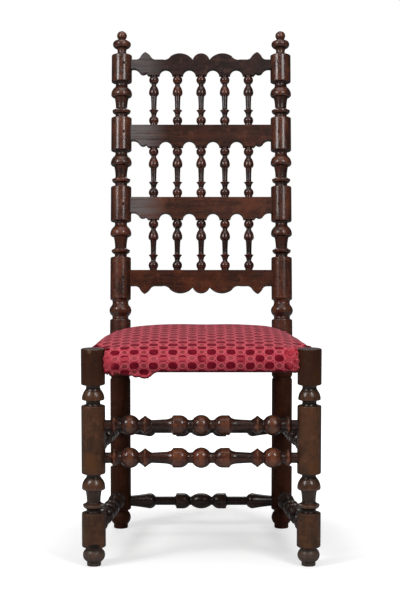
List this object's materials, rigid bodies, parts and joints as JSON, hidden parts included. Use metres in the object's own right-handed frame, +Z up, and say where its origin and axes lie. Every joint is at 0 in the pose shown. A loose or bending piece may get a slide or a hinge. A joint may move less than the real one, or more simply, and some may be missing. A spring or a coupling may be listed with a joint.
{
  "type": "turned spindle-back side chair",
  "caption": "High-back wooden side chair with turned legs, posts, stretchers and spindle tiers, scrolled crest and lumbar rails, and an upholstered velvet seat.",
  "frame": {"origin": "on the floor, under the middle of the chair's outline", "axes": "+Z up; the chair's front faces -Y, so +Y runs to the back; +X is to the right as seen from the front"},
  "size_m": [0.5224, 0.5679, 1.2007],
  "materials": {
    "post_wood": "polished dark red-brown, glossy",
    "leg_wood": "worn dark brown, satin",
    "rail_wood": "dark grey-brown, satin",
    "spindle_wood": "polished dark brown",
    "stretcher_wood": "polished red-brown, glossy",
    "seat_rail_wood": "unfinished hidden wood",
    "peg_wood": "dark peg ends",
    "webbing": "woven jute",
    "base_cloth": "coarse linen",
    "stuffing": "hair and flock padding",
    "velvet": "worn cut velvet, rose red and crimson",
    "iron": "blued iron tacks"
  },
  "bodies": {
    "root": {"back_post_left": "post_wood", "back_post_right": "post_wood", "front_leg_left": "leg_wood", "front_leg_right": "leg_wood", "crest_rail": "rail_wood", "upper_back_rail": "rail_wood", "middle_back_rail": "rail_wood", "bottom_back_rail": "rail_wood", "back_rail_pegs": "peg_wood", "lower_spindle_1": "spindle_wood", "lower_spindle_2": "spindle_wood", "lower_spindle_3": "spindle_wood", "lower_spindle_4": "spindle_wood", "lower_spindle_5": "spindle_wood", "middle_spindle_1": "spindle_wood", "middle_spindle_2": "spindle_wood", "middle_spindle_3": "spindle_wood", "middle_spindle_4": "spindle_wood", "middle_spindle_5": "spindle_wood", "upper_spindle_1": "spindle_wood", "upper_spindle_2": "spindle_wood", "upper_spindle_3": "spindle_wood", "upper_spindle_4": "spindle_wood", "upper_spindle_5": "spindle_wood", "front_stretcher_lower": "stretcher_wood", "front_stretcher_upper": "stretcher_wood", "rear_stretcher_lower": "stretcher_wood", "rear_stretcher_upper": "stretcher_wood", "side_stretcher_lower_left": "stretcher_wood", "side_stretcher_lower_right": "stretcher_wood", "side_stretcher_upper_left": "stretcher_wood", "side_stretcher_upper_right": "stretcher_wood", "seat_rail_front": "seat_rail_wood", "seat_rail_rear": "seat_rail_wood", "seat_rail_left": "seat_rail_wood", "seat_rail_right": "seat_rail_wood", "seat_rail_pegs": "peg_wood", "seat_webbing": "webbing", "webbing_tacks": "iron", "seat_base_cloth": "base_cloth", "seat_stuffing": "stuffing", "seat_cover": "velvet", "cover_tacks": "iron"}
  },
  "joints": []
}
